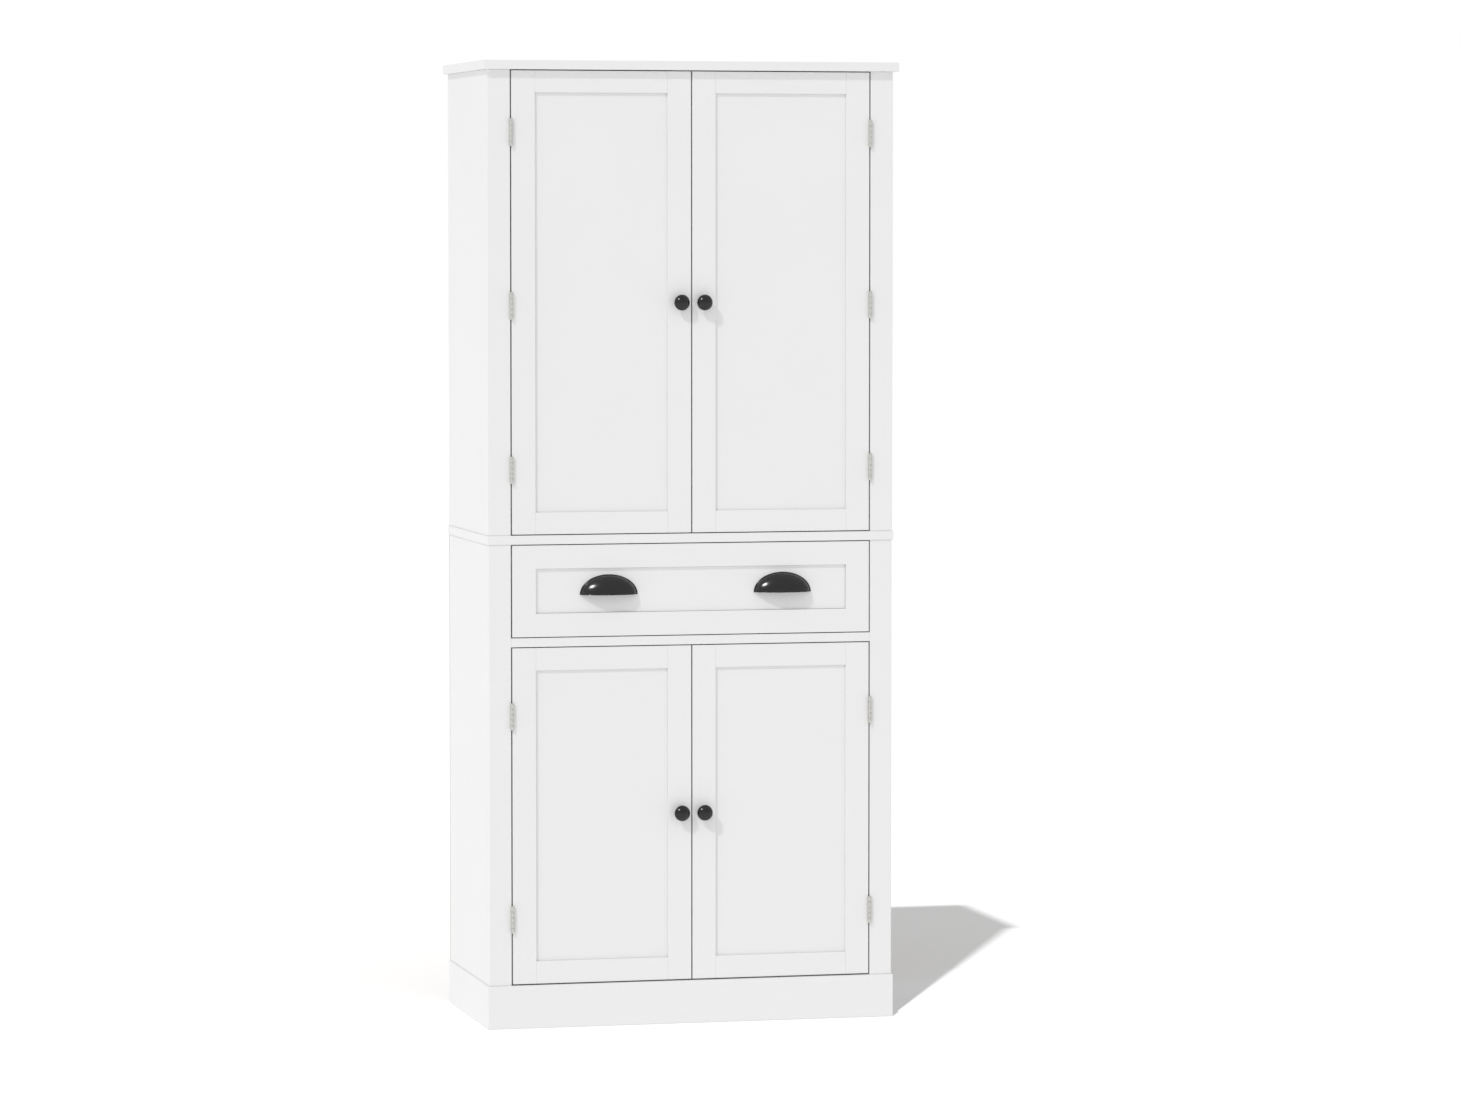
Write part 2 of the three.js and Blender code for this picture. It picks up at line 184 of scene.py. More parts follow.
# ---- nodes -----------------------------------------------------------------------------------
def add(tree, kind, inputs=None, **settings):
    """Adds a node. An input is a value, a socket to link from, or a list of such sockets."""
    node = tree.nodes.new(kind)
    for name, value in settings.items():
        setattr(node, name, value)
    for name, value in (inputs or {}).items():
        sources = value if isinstance(value, list) else [value]
        for source in sources:
            if isinstance(source, bpy.types.NodeSocket):
                tree.links.new(source, node.inputs[name])
            else:
                node.inputs[name].default_value = source
    return node


def blank_finish(name, **shader_inputs):
    """A material's tree with its shader, and Object coordinates counted in millimetres."""
    material = bpy.data.materials.new(name)
    material.use_nodes = True
    tree = material.node_tree
    tree.nodes.clear()
    labels = {label.replace("_", " "): value for label, value in shader_inputs.items()}
    shader = add(tree, "ShaderNodeBsdfPrincipled", labels)
    add(tree, "ShaderNodeOutputMaterial", {"Surface": shader.outputs["BSDF"]})
    place = add(tree, "ShaderNodeTexCoord").outputs["Object"]
    millimetres = add(
        tree, "ShaderNodeVectorMath", {0: place, "Scale": 1 / MM}, operation="SCALE"
    ).outputs["Vector"]
    return material, tree, shader, millimetres


def shades(colour, dark, light):
    """A colour made darker and lighter, each with its alpha."""
    return [(*(min(part * factor, 1) for part in colour), 1) for factor in (dark, light)]


def noise(tree, place, size, detail):
    """Noise whose lumps are about so many millimetres across."""
    return add(
        tree, "ShaderNodeTexNoise", {"Vector": place, "Scale": 1 / size, "Detail": detail}
    ).outputs["Fac"]


def drawn_out(tree, place, x, y, z):
    """Coordinates in which a pattern of unit size becomes x by y by z millimetres."""
    return add(
        tree, "ShaderNodeMapping", {"Vector": place, "Scale": (1 / x, 1 / y, 1 / z)}
    ).outputs["Vector"]


def between(tree, share, first, second):
    """A colour that goes from the first to the second with the share."""
    return add(
        tree, "ShaderNodeMix", {"Factor": share, 6: first, 7: second}, data_type="RGBA"
    ).outputs[2]


def ranged(tree, value, **ends):
    """A value brought from one range to another, given as from_min, from_max, to_min or to_max."""
    labels = {label.replace("_", " ").title(): end for label, end in ends.items()}
    return add(tree, "ShaderNodeMapRange", {"Value": value, **labels}).outputs["Result"]


def product(tree, first, second):
    return add(tree, "ShaderNodeMath", {0: first, 1: second}, operation="MULTIPLY").outputs["Value"]


def cover(tree, shader, tone, roughness, height, strength, depth):
    """Joins a tone, a roughness and a relief of the given depth to the shader."""
    relief = add(
        tree, "ShaderNodeBump", {"Height": height, "Strength": strength, "Distance": depth}
    ).outputs["Normal"]
    for label, source in (("Base Color", tone), ("Roughness", roughness), ("Normal", relief)):
        tree.links.new(source, shader.inputs[label])


# ---- finishes --------------------------------------------------------------------------------
def satin_paint(colours):
    # Satin lacquer sprayed on fibreboard: an even white with a faint orange peel about 3 mm across,
    # which breaks up the sheen, and slow drifts in tone where the coat is thicker.
    material, tree, shader, place = blank_finish("satin_paint_on_fibreboard", IOR=1.5)
    drift, mist, peel = noise(tree, place, 140, 3), noise(tree, place, 24, 4), noise(tree, place, 3, 2)
    tone = between(tree, drift, *shades(colours.paint, 0.985, 1.01))
    cover(tree, shader, tone, ranged(tree, mist, to_min=0.40, to_max=0.52), peel, 0.35, 0.03 * MM)
    return material


def melamine_foil(colours):
    # Melamine paper pressed on particle board: matt, a shade warmer than the paint, with a pearl
    # grain of about 1.2 mm left by the press plate.
    material, tree, shader, place = blank_finish("melamine_foil_on_particle_board", IOR=1.52)
    pearl = add(
        tree, "ShaderNodeTexVoronoi", {"Vector": place, "Scale": 1 / 1.2}, feature="SMOOTH_F1"
    ).outputs["Distance"]
    tone = between(tree, noise(tree, place, 60, 3), *shades(colours.foil, 0.97, 1.02))
    cover(tree, shader, tone, ranged(tree, pearl, to_min=0.55, to_max=0.68), pearl, 0.4, 0.04 * MM)
    return material


def bare_hardboard(colours):
    # Wet-pressed hardboard with its screen side out: brown matted fibres 6 mm long, dark flecks,
    # and the square print of a 3 mm wire screen.
    material, tree, shader, place = blank_finish("screen_backed_hardboard", IOR=1.45)
    lying = noise(tree, drawn_out(tree, place, 6, 1, 1.2), 1, 4)
    upright = noise(tree, drawn_out(tree, place, 1.2, 1, 6), 1, 4)
    felt = product(tree, lying, upright)
    matted = ranged(tree, felt, from_min=0.12, from_max=0.42)
    brown = between(tree, matted, *shades(colours.hardboard, 0.55, 1.25))
    fleck = ranged(tree, noise(tree, place, 2.5, 1), from_min=0.68, from_max=0.74)
    tone = between(tree, fleck, brown, shades(colours.hardboard, 0.3, 1)[0])
    # A wave texture repeats every 0.314 / scale.
    waves = [
        add(
            tree,
            "ShaderNodeTexWave",
            {"Vector": place, "Scale": 0.314 / 3, "Distortion": 0.4},
            bands_direction=way,
        ).outputs["Fac"]
        for way in "XZ"
    ]
    height = add(
        tree, "ShaderNodeMath", {0: product(tree, *waves), 1: felt}, operation="ADD"
    ).outputs["Value"]
    cover(tree, shader, tone, ranged(tree, felt, to_min=0.75, to_max=0.95), height, 0.6, 0.25 * MM)
    return material


def gloss_enamel(colours):
    # Stoved enamel on a zinc casting: near black, glossy enough for a small hard highlight, with
    # a slight waviness of about 9 mm from the casting under it and faint smears from handling.
    material, tree, shader, place = blank_finish("stoved_enamel_on_zinc_casting", IOR=1.5)
    wave, smear = noise(tree, place, 9, 1), noise(tree, place, 5, 5)
    tone = between(tree, smear, *shades(colours.enamel, 0.8, 1.3))
    cover(tree, shader, tone, ranged(tree, smear, to_min=0.17, to_max=0.23), wave, 0.25, 0.05 * MM)
    return material


def satin_nickel(colours):
    # Nickel plate over brushed steel: a warm grey metal whose highlight is drawn out by scratches
    # that run up the leaf. They are 0.4 mm wide here, since real ones are too fine to show.
    material, tree, shader, place = blank_finish("satin_nickel_plate", Metallic=1.0)
    scratch = noise(tree, drawn_out(tree, place, 0.4, 0.4, 9), 1, 3)
    tone = between(tree, scratch, *shades(colours.nickel, 0.82, 1.08))
    cover(tree, shader, tone, ranged(tree, scratch, to_min=0.30, to_max=0.48), scratch, 0.3, 0.02 * MM)
    return material


def zinc_plate(colours):
    # Rolled steel with bright zinc plate: blue-grey with patches of straw where the passivation
    # is thicker, about 12 mm across, and rolling lines along the runner.
    material, tree, shader, place = blank_finish("bright_zinc_plate", Metallic=1.0)
    line = noise(tree, drawn_out(tree, place, 0.6, 20, 0.6), 1, 2)
    blue_grey, straw = (*colours.zinc, 1), (*colours.straw, 1)
    tone = between(tree, noise(tree, place, 12, 2), blue_grey, straw)
    cover(tree, shader, tone, ranged(tree, line, to_min=0.28, to_max=0.46), line, 0.3, 0.02 * MM)
    return material


def moulded_plastic(colours):
    # Injection-moulded ABS: milky white, with the fine spark-eroded texture of the mould, about
    # 0.5 mm between grains, and a soft highlight.
    material, tree, shader, place = blank_finish("moulded_plastic", IOR=1.54)
    grain = noise(tree, place, 0.5, 2)
    tone = between(tree, noise(tree, place, 18, 2), *shades(colours.plastic, 0.96, 1.02))
    cover(tree, shader, tone, ranged(tree, grain, to_min=0.34, to_max=0.46), grain, 0.3, 0.02 * MM)
    return material


def studio_floor(colours):
    # A seamless painted floor: plain, matt and pale, with a barely visible cloudiness 0.5 m across.
    material, tree, shader, place = blank_finish(
        "matt_floor_paint", Roughness=0.9, Specular_IOR_Level=0.1
    )
    tone = between(tree, noise(tree, place, 500, 2), *shades(colours.floor, 0.995, 1.005))
    tree.links.new(tone, shader.inputs["Base Color"])
    return material


RECIPES = {
    "paint": satin_paint,
    "foil": melamine_foil,
    "hardboard": bare_hardboard,
    "enamel": gloss_enamel,
    "nickel": satin_nickel,
    "zinc": zinc_plate,
    "plastic": moulded_plastic,
    "floor": studio_floor,
}
made_finishes = {}


def finish(name):
    """The material of that name, made when it is first asked for."""
    if name not in made_finishes:
        made_finishes[name] = RECIPES[name](bpy.context.scene.finish_colours)
    return made_finishes[name]


# ---- shapes ----------------------------------------------------------------------------------
def copy_of(node):
    """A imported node's solid with its doubles merged and its flat faces whole."""
    shape = bmesh.new()
    shape.from_mesh(frame["nodes"][node].data)
    bmesh.ops.remove_doubles(shape, verts=shape.verts, dist=1e-6)
    bmesh.ops.dissolve_limit(
        shape, angle_limit=math.radians(1), verts=shape.verts, edges=shape.edges
    )
    return shape


def add_block(shape, low, high):
    """Adds a box between two corners to a shape."""
    corners = [
        shape.verts.new((x, y, z))
        for z in (low[2], high[2])
        for x, y in ((low[0], low[1]), (high[0], low[1]), (high[0], high[1]), (low[0], high[1]))
    ]
    for loop in ((3, 2, 1, 0), (4, 5, 6, 7), (0, 1, 5, 4), (1, 2, 6, 5), (2, 3, 7, 6), (3, 0, 4, 7)):
        shape.faces.new([corners[index] for index in loop])


def after(ring):
    """The ring's points, each replaced by the one that follows it."""
    return [*ring[1:], ring[0]]


def bridge(shape, lower, upper):
    """Joins two closed rings of as many points with four-sided faces."""
    corners = zip(lower, after(lower), after(upper), upper)
    return [shape.faces.new(four) for four in corners]


def add_prism(shape, outline, place, start, end):
    """Adds an outline drawn out from start to end; place turns (u, v, distance) into a point."""
    rings = [[shape.verts.new(place(u, v, at)) for u, v in outline] for at in (start, end)]
    faces = [shape.faces.new(rings[0][::-1]), shape.faces.new(rings[1]), *bridge(shape, *rings)]
    bmesh.ops.recalc_face_normals(shape, faces=faces)


def ease(shape, width, segments=2):
    """Rounds every sharp edge of a shape and shades the rounding smooth."""
    sharp = [
        edge
        for edge in shape.edges
        if len(edge.link_faces) == 2 and edge.calc_face_angle(0) > math.radians(30)
    ]
    rounded = bmesh.ops.bevel(
        shape,
        geom=sharp,
        offset=width,
        offset_type="OFFSET",
        segments=segments,
        profile=0.5,
        affect="EDGES",
        clamp_overlap=True,
    )
    for face in rounded["faces"]:
        face.smooth = True


def curve(start, *bends, steps=6):
    """Points along a chain of quadratic bends, each given as (control, end)."""
    points = [start]
    for (cx, cy), (ex, ey) in bends:
        sx, sy = points[-1]
        for step in range(1, steps + 1):
            t = step / steps
            points.append(
                (
                    (1 - t) ** 2 * sx + 2 * t * (1 - t) * cx + t * t * ex,
                    (1 - t) ** 2 * sy + 2 * t * (1 - t) * cy + t * t * ey,
                )
            )
    return points


def add_turning(shape, profile, place, sides):
    """Turns a profile of (radius, height) points; its two ends lie on the axis.

    place turns (across, across, height) into a point.
    """
    ends = [shape.verts.new(place(0, 0, profile[index][1])) for index in (0, -1)]
    angles = [math.tau * side / sides for side in range(sides)]
    rings = [
        [shape.verts.new(place(radius * math.cos(a), radius * math.sin(a), height)) for a in angles]
        for radius, height in profile[1:-1]
    ]
    faces = [face for lower, upper in zip(rings, rings[1:]) for face in bridge(shape, lower, upper)]
    for end, ring in zip(ends, (rings[0][::-1], rings[-1])):
        faces += [shape.faces.new((end, *pair)) for pair in zip(ring, after(ring))]
    for face in faces:
        face.smooth = True
    bmesh.ops.recalc_face_normals(shape, faces=faces)


def mesh_of(name, shape):
    """Turns a shape into a mesh and lets the shape go."""
    mesh = bpy.data.meshes.new(name)
    shape.to_mesh(mesh)
    shape.free()
    return mesh


def linked(name, data):
    thing = bpy.data.objects.new(name, data)
    bpy.context.scene.collection.objects.link(thing)
    return thing


def piece(name, shape, finishes, body, stands_for=()):
    """Makes a shape a piece of the cabinet that rides on a body."""
    return settle(linked(name, mesh_of(name, shape)), finishes, body, stands_for)


def settle(thing, finishes, body, stands_for=()):
    """Gives an object its finishes and its place in the frame."""
    if not thing.data.materials:
        for each in finishes:
            thing.data.materials.append(finish(each))
    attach(thing, body)
    if stands_for:
        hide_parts(*stands_for)
    return thing


def eased(node, manner, width, finish_name, body, segments=2):
    """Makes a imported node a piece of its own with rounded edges."""
    shape = copy_of(node)
    ease(shape, width, segments)
    return piece(f"{node}_{manner}", shape, (finish_name,), body, (node,))


# ---- what repeats ----------------------------------------------------------------------------
def new_tree(name, **sockets):
    """A geometry tree with named inputs, and its input node's outputs."""
    tree = bpy.data.node_groups.new(name, "GeometryNodeTree")
    for label, kind in sockets.items():
        label = label.replace("_", " ")
        tree.interface.new_socket(label, in_out="INPUT", socket_type=f"NodeSocket{kind}")
    tree.interface.new_socket("Geometry", in_out="OUTPUT", socket_type="NodeSocketGeometry")
    return tree, add(tree, "NodeGroupInput").outputs


def finish_tree(tree, geometry, given):
    """Gives the geometry its finish and hands it out."""
    done = add(tree, "GeometryNodeSetMaterial", {"Geometry": geometry, "Material": given["Finish"]})
    add(tree, "NodeGroupOutput", {"Geometry": done.outputs["Geometry"]})
    return tree


def repeated(tree, points, instance, **more):
    """One real mesh of an instance at every point."""
    placed = add(
        tree, "GeometryNodeInstanceOnPoints", {"Points": points, "Instance": instance, **more}
    )
    return add(
        tree, "GeometryNodeRealizeInstances", {"Geometry": placed.outputs["Instances"]}
    ).outputs["Geometry"]


def set_out_tree():
    """Stands a pattern at every point, facing the way the point says, with a seeded turn."""
    tree, given = new_tree(
        "Set Out", Points="Geometry", Pattern="Object", Most_Turn="Float", Seed="Int", Finish="Material"
    )
    facing = add(
        tree, "GeometryNodeInputNamedAttribute", {"Name": "facing"}, data_type="FLOAT_VECTOR"
    ).outputs["Attribute"]
    stood = add(
        tree, "FunctionNodeAlignRotationToVector", {"Vector": facing}, axis="Z"
    ).outputs["Rotation"]
    # Sockets 2, 3 and 8 of a random value are its lowest and highest number and its seed.
    turn = add(
        tree,
        "FunctionNodeRandomValue",
        {2: 0.0, 3: given["Most Turn"], 8: given["Seed"]},
        data_type="FLOAT",
    ).outputs[1]
    spin = add(
        tree, "FunctionNodeAxisAngleToRotation", {"Axis": (0, 0, 1), "Angle": turn}
    ).outputs["Rotation"]
    turned = add(
        tree,
        "FunctionNodeRotateRotation",
        {"Rotation": stood, "Rotate By": spin},
        rotation_space="LOCAL",
    ).outputs["Rotation"]
    pattern = add(
        tree, "GeometryNodeObjectInfo", {"Object": given["Pattern"], "As Instance": True}
    ).outputs["Geometry"]
    return finish_tree(tree, repeated(tree, given["Points"], pattern, Rotation=turned), given)


def pin_holes_tree():
    """Bores two rows of shelf-pin holes into a board, along X."""
    tree, given = new_tree(
        "Pin Holes", Board="Geometry", First_Hole="Vector", Pitch="Float", Count="Int",
        Row_Gap="Float", Bit_Radius="Float", Bit_Length="Float", Finish="Material",
    )
    up = add(tree, "ShaderNodeCombineXYZ", {"Z": given["Pitch"]}).outputs["Vector"]
    back = add(tree, "ShaderNodeCombineXYZ", {"Y": given["Row Gap"]}).outputs["Vector"]
    front_row = add(
        tree,
        "GeometryNodeMeshLine",
        {"Count": given["Count"], "Start Location": given["First Hole"], "Offset": up},
    ).outputs["Mesh"]
    back_row = add(
        tree, "GeometryNodeTransform", {"Geometry": front_row, "Translation": back}
    ).outputs["Geometry"]
    rows = add(
        tree, "GeometryNodeJoinGeometry", {"Geometry": [front_row, back_row]}
    ).outputs["Geometry"]
    bit = add(
        tree,
        "GeometryNodeMeshCylinder",
        {"Vertices": 20, "Radius": given["Bit Radius"], "Depth": given["Bit Length"]},
    ).outputs["Mesh"]
    lying = add(
        tree, "GeometryNodeTransform", {"Geometry": bit, "Rotation": (0, math.pi / 2, 0)}
    ).outputs["Geometry"]
    bored = add(
        tree,
        "GeometryNodeMeshBoolean",
        {"Mesh 1": given["Board"], "Mesh 2": repeated(tree, rows, lying)},
        operation="DIFFERENCE",
        solver="EXACT",
    ).outputs["Mesh"]
    return finish_tree(tree, bored, given)


made_trees = {}


def worked(name, mesh, build_tree, **values):
    """Runs a mesh through a geometry tree and returns a plain object made from the result."""
    if build_tree not in made_trees:
        made_trees[build_tree] = build_tree()
    tree = made_trees[build_tree]
    source = linked(f"{name}_source", mesh)
    modifier = source.modifiers.new("Work", "NODES")
    modifier.node_group = tree
    sockets = {
        item.name: item.identifier
        for item in tree.interface.items_tree
        if item.item_type == "SOCKET" and item.in_out == "INPUT"
    }
    for label, value in values.items():
        modifier[sockets[label.replace("_", " ")]] = value
    bpy.context.view_layer.update()
    graph = bpy.context.evaluated_depsgraph_get()
    result = bpy.data.meshes.new_from_object(source.evaluated_get(graph))
    if not result.polygons:
        raise RuntimeError(f"{name} came out empty")
    bpy.data.objects.remove(source)
    result.name = name
    return linked(name, result)


def set_out(name, spots, pattern, finish_name, body, most_turn=math.tau, seed=1, stands_for=()):
    """One piece made of a pattern shape repeated at spots, each a (point, facing) pair."""
    points = bpy.data.meshes.new(f"{name}_points")
    points.from_pydata([tuple(point) for point, _ in spots], [], [])
    facing = points.attributes.new("facing", "FLOAT_VECTOR", "POINT")
    facing.data.foreach_set("vector", [part for _, way in spots for part in way])
    model = linked(f"{name}_pattern", mesh_of(f"{name}_pattern", pattern))
    thing = worked(
        name,
        points,
        set_out_tree,
        Pattern=model,
        Most_Turn=most_turn,
        Seed=seed,
        Finish=finish(finish_name),
    )
    bpy.data.objects.remove(model)
    return settle(thing, (finish_name,), body, stands_for)


def stand_up(u, v, height):
    """Turns a profile about Z."""
    return (u, v, height)


def set_screws(name, spots, kind, finish_name, body, seed=1):
    """One piece made of all the screws of a kind at spots, each a (point, facing) pair."""
    set_out(name, spots, screw_head(*SCREW_HEADS[kind]), finish_name, body, seed=seed)


def screw_head(radius, crown, depth, straight_side):
    """A cross-recess screw head facing +Z, its rim at height straight_side."""
    arm, slot = radius * 0.55, radius * 0.13
    first = math.atan2(slot, arm)
    between = (first + math.pi / 4) / 2
    quarter = (-first, 0.0, first, between, math.pi / 4, math.pi / 2 - between)
    angles = [math.pi / 2 * turn + angle for turn in range(4) for angle in quarter]

    def cross(angle):
        c, s = abs(math.cos(angle)), abs(math.sin(angle))
        reach = [
            min(a / c if c > 1e-9 else math.inf, b / s if s > 1e-9 else math.inf)
            for a, b in ((arm, slot), (slot, arm))
        ]
        return max(reach)

    shape = bmesh.new()
    count = len(angles)
    levels = [
        ([radius * 0.5] * count, -depth),
        ([radius] * count, 0.0),
        ([radius] * count, straight_side),
        ([radius * 0.92] * count, straight_side + crown * 0.45),
        ([radius * 0.72] * count, straight_side + crown * 0.85),
        ([cross(angle) for angle in angles], straight_side + crown),
        ([cross(angle) * 0.6 for angle in angles], straight_side + crown - radius * 0.5),
    ]
    if not straight_side:
        del levels[2]
    rings = [
        [shape.verts.new((r * math.cos(a), r * math.sin(a), z)) for r, a in zip(reach, angles)]
        for reach, z in levels
    ]
    for lower, upper in zip(rings, rings[1:]):
        bridge(shape, lower, upper)
    shape.faces.new(rings[0][::-1])
    shape.faces.new(rings[-1])
    bmesh.ops.recalc_face_normals(shape, faces=shape.faces)
    return shape


# ---- carcass ---------------------------------------------------------------------------------
PAINTED_BOARDS = (
    "top_board",
    "mid_board",
    "drawer_divider",
    "plinth_front",
    *(f"{board}_{hand}" for board in ("plinth_side", "upper_stile", "lower_stile") for hand in HANDS),
)
SHELVES = {"upper_shelf_low": "upper", "upper_shelf_high": "upper", "lower_shelf": "lower"}


class CABINET_OT_boards(bpy.types.Operator):
    """Ease the edges of the painted boards"""

    bl_idname = "cabinet.boards"
    bl_label = "Painted Boards"

    def execute(self, context):
        for node in PAINTED_BOARDS:
            eased(node, "eased", context.scene.joinery_sizes.board_arris, "paint", "carcass", 3)
        return {"FINISHED"}


def inner_face(side_board):
    """Where a side board's face towards the middle lies along X."""
    low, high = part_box(side_board)
    return high.x if high.x < 0 else low.x


def pin_rows(sizes, section):
    """Front row and back row depths, and the heights of the pins in use in a section."""
    shelves = [shelf for shelf, place in SHELVES.items() if place == section]
    low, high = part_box(shelves[0])
    rows = (low.y + sizes.pin_inset, high.y - sizes.pin_inset)
    heights = sorted(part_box(shelf)[0].z - sizes.pin_radius for shelf in shelves)
    return rows, heights


class CABINET_OT_sides(bpy.types.Operator):
    """Make the four sides with their rows of shelf-pin holes"""

    bl_idname = "cabinet.sides"
    bl_label = "Bored Sides"

    def execute(self, context):
        sizes = context.scene.joinery_sizes
        for section in ("upper", "lower"):
            (front, back), heights = pin_rows(sizes, section)
            spare = sizes.spare_holes * sizes.pin_pitch
            count = round((heights[-1] - heights[0] + 2 * spare) / sizes.pin_pitch) + 1
            for hand in HANDS:
                node = f"{section}_side_{hand}"
                shape = copy_of(node)
                ease(shape, sizes.board_arris, 3)
                bored = worked(
                    f"{node}_bored",
                    mesh_of(node, shape),
                    pin_holes_tree,
                    First_Hole=(inner_face(node), front, heights[0] - spare),
                    Pitch=sizes.pin_pitch,
                    Count=count,
                    Row_Gap=back - front,
                    Bit_Radius=sizes.pin_radius,
                    Bit_Length=2 * sizes.pin_depth,
                    Finish=finish("paint"),
                )
                settle(bored, ("paint",), "carcass", (node,))
        return {"FINISHED"}


class CABINET_OT_shelves(bpy.types.Operator):
    """Make the bottom board, the shelves and the pins that hold them"""

    bl_idname = "cabinet.shelves"
    bl_label = "Shelves and Pins"

    def execute(self, context):
        sizes = context.scene.joinery_sizes
        for node in ("bottom_board", *SHELVES):
            eased(node, "edged", sizes.foil_arris, "foil", "carcass")
        spots = []
        for node, section in SHELVES.items():
            rows, _ = pin_rows(sizes, section)
            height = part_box(node)[0].z - sizes.pin_radius
            for hand, way in zip(HANDS, (1, -1)):
                inner = inner_face(f"{section}_side_{hand}")
                spots += [((inner, row, height), (way, 0, 0)) for row in rows]
        radius = sizes.pin_radius
        profile = [
            (0, -8.5 * MM), (radius * 0.8, -8.5 * MM), (radius * 0.96, -7.8 * MM),
            (radius * 0.96, 0), (radius * 1.5, 0), (radius * 1.5, 0.6 * MM),
            (radius * 1.4, 0.8 * MM), (radius, 0.8 * MM), (radius, 9.4 * MM),
            (radius * 0.8, 10 * MM), (0, 10 * MM),
        ]
        pin = bmesh.new()
        add_turning(pin, profile, stand_up, 20)
        set_out("shelf_pins", spots, pin, "plastic", "carcass")
        return {"FINISHED"}


class CABINET_OT_back(bpy.types.Operator):
    """Make the hardboard back, brown behind and white inside, and its nails"""

    bl_idname = "cabinet.back"
    bl_label = "Back Panel and Nails"

    def execute(self, context):
        sizes = context.scene.joinery_sizes
        nail_proud = 0.5 * MM
        low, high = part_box("back_panel")
        shape = copy_of("back_panel")
        for vertex in shape.verts:
            if vertex.co.y > (low.y + high.y) / 2:
                vertex.co.y -= nail_proud
        ease(shape, 0.3 * MM)
        shape.normal_update()
        for face in shape.faces:
            face.material_index = 0 if face.normal.y > -0.5 else 1
        piece("back_panel_screen_backed", shape, ("hardboard", "foil"), "carcass", ("back_panel",))

        def row(start, end):
            reach = (Vector(end) - Vector(start)).length
            steps = max(round(reach / sizes.nail_pitch), 1)
            return [Vector(start).lerp(Vector(end), step / steps) for step in range(steps + 1)]

        behind = high.y - nail_proud
        edge = 7.5 * MM
        places = []
        for x in (low.x + edge, high.x - edge):
            places += row((x, behind, low.z + edge), (x, behind, high.z - edge))
        for board in ("bottom_board", "drawer_divider", "mid_board"):
            board_low, board_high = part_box(board)
            height = (board_low.z + board_high.z) / 2
            ends = row((low.x + edge, behind, height), (high.x - edge, behind, height))
            places += ends[1:-1]
        head = bmesh.new()
        radius = 2.1 * MM
        add_turning(
            head,
            [(0, -1 * MM), (radius * 0.5, -1 * MM), (radius * 0.9, 0), (radius, 0.12 * MM),
             (radius, 0.3 * MM), (radius * 0.8, 0.46 * MM), (0, nail_proud)],
            stand_up,
            14,
        )
        set_out("back_nails", [(place, (0, 1, 0)) for place in places], head, "zinc", "carcass")
        return {"FINISHED"}


# ---- fronts ----------------------------------------------------------------------------------
def add_member(shape, low, high, upright, inner, groove):
    """Adds a stile or a rail with a groove along its inner edge, from groove.x to groove.y deep.

    inner is +1 or -1: the way along X or Z in which the panel lies. groove is (front, back, depth).
    """
    front, back, depth = groove
    across = 0 if upright else 2
    outer, edge = (low, high) if inner > 0 else (high, low)
    floor = edge[across] - inner * depth
    outline = [
        (outer[across], low[1]), (edge[across], low[1]), (edge[across], front), (floor, front),
        (floor, back), (edge[across], back), (edge[across], high[1]), (outer[across], high[1]),
    ]
    if upright:
        add_prism(shape, outline, lambda u, v, at: (u, v, at), low[2], high[2])
    else:
        add_prism(shape, outline, lambda u, v, at: (at, v, u), low[0], high[0])


class CABINET_OT_doors(bpy.types.Operator):
    """Make each door's two stiles and two rails, grooved for the panel"""

    bl_idname = "cabinet.doors"
    bl_label = "Door Frames"

    def execute(self, context):
        sizes = context.scene.joinery_sizes
        for door in DOORS:
            low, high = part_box(f"{door}_frame")
            panel_low, panel_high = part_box(f"{door}_panel")
            left = panel_low.x + sizes.groove_depth
            right = panel_high.x - sizes.groove_depth
            bottom = panel_low.z + sizes.groove_depth
            top = panel_high.z - sizes.groove_depth
            groove = (
                panel_low.y - sizes.groove_play,
                panel_high.y + sizes.groove_play,
                sizes.groove_depth + sizes.groove_play,
            )
            shape = bmesh.new()
            add_member(shape, low, (left, high.y, high.z), True, 1, groove)
            add_member(shape, (right, low.y, low.z), high, True, -1, groove)
            add_member(shape, (left, low.y, low.z), (right, high.y, bottom), False, 1, groove)
            add_member(shape, (left, low.y, top), (right, high.y, high.z), False, -1, groove)
            ease(shape, sizes.front_arris)
            piece(f"{door}_stiles_and_rails", shape, ("paint",), door, (f"{door}_frame",))
            panel = frame["nodes"][f"{door}_panel"]
            panel.data.materials.clear()
            panel.data.materials.append(finish("paint"))
        return {"FINISHED"}


class CABINET_OT_drawer_front(bpy.types.Operator):
    """Make the drawer front's frame with its sunk panel"""

    bl_idname = "cabinet.drawer_front"
    bl_label = "Drawer Front"

    def execute(self, context):
        sizes = context.scene.joinery_sizes
        low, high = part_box("drawer_front")
        left, right = low.x + sizes.drawer_stile, high.x - sizes.drawer_stile
        bottom, top = low.z + sizes.drawer_rail, high.z - sizes.drawer_rail
        shape = bmesh.new()
        add_block(shape, low, (left, high.y, high.z))
        add_block(shape, (right, low.y, low.z), high)
        add_block(shape, (left, low.y, low.z), (right, high.y, bottom))
        add_block(shape, (left, low.y, top), (right, high.y, high.z))
        ease(shape, sizes.front_arris)
        gap, face = sizes.groove_play, low.y + sizes.drawer_recess
        behind = face + (high.y - face) / 2
        add_block(shape, (left + gap, face, bottom + gap), (right - gap, behind, top - gap))
        add_block(shape, (left, behind, bottom), (right, high.y - gap, top))
        piece("drawer_front_framed", shape, ("paint",), "drawer", ("drawer_front",))
        return {"FINISHED"}


